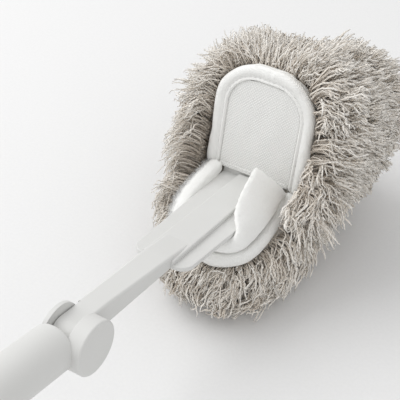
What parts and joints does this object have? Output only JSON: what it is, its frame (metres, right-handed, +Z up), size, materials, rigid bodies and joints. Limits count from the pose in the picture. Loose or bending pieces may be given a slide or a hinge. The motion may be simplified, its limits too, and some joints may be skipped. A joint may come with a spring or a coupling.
{
  "type": "feather duster",
  "caption": "Hand duster with a hinged hollow grip and a moulded arm whose turned-up blade holds a removable shaggy microfibre pile head by its sewn pocket.",
  "frame": {"origin": "middle of the base of the whole object's box, on the surface that the pile stands on", "axes": "+Z up, +Y from the grip towards the pile head, +X along the hinge bolt towards its head"},
  "size_m": [0.122, 0.45, 0.1443],
  "materials": {
    "white_plastic": "satin",
    "bearing_plastic": "satin",
    "steel": "satin",
    "pocket_mesh": "matte",
    "pocket_binding": "matte",
    "padded_fleece": "matte",
    "core_wadding": "matte",
    "microfibre_pile": "matte"
  },
  "bodies": {
    "head": {"arm_shank": "white_plastic", "pivot_bush": "bearing_plastic", "arm_blade": "white_plastic", "blade_screw_1": "steel", "blade_screw_2": "steel", "pocket_panel": "pocket_mesh", "pocket_border": "pocket_binding", "pocket_hem": "pocket_binding", "toe_pad": "padded_fleece", "heel_pad": "padded_fleece", "heel_binding": "pocket_binding", "wing_right": "padded_fleece", "wing_left": "padded_fleece", "foam_core": "core_wadding", "pile_front_right": "microfibre_pile", "pile_front_left": "microfibre_pile", "pile_belly": "microfibre_pile", "pile_heel": "microfibre_pile", "pile_side_right": "microfibre_pile", "pile_side_left": "microfibre_pile"},
    "handle": {"grip_tube": "white_plastic", "grip_end_cap": "white_plastic", "hinge_fork": "white_plastic", "hinge_cap": "white_plastic", "pivot_bolt": "steel", "pivot_nut": "steel", "friction_washer_right": "bearing_plastic", "friction_washer_left": "bearing_plastic"}
  },
  "joints": [
    {"name": "handle_tilt", "type": "hinge", "parent": "head", "child": "handle", "pos_m": [0, -0.05848, 0.092], "axis": [-1, 0, 0], "range_deg": [-85, 85]}
  ]
}
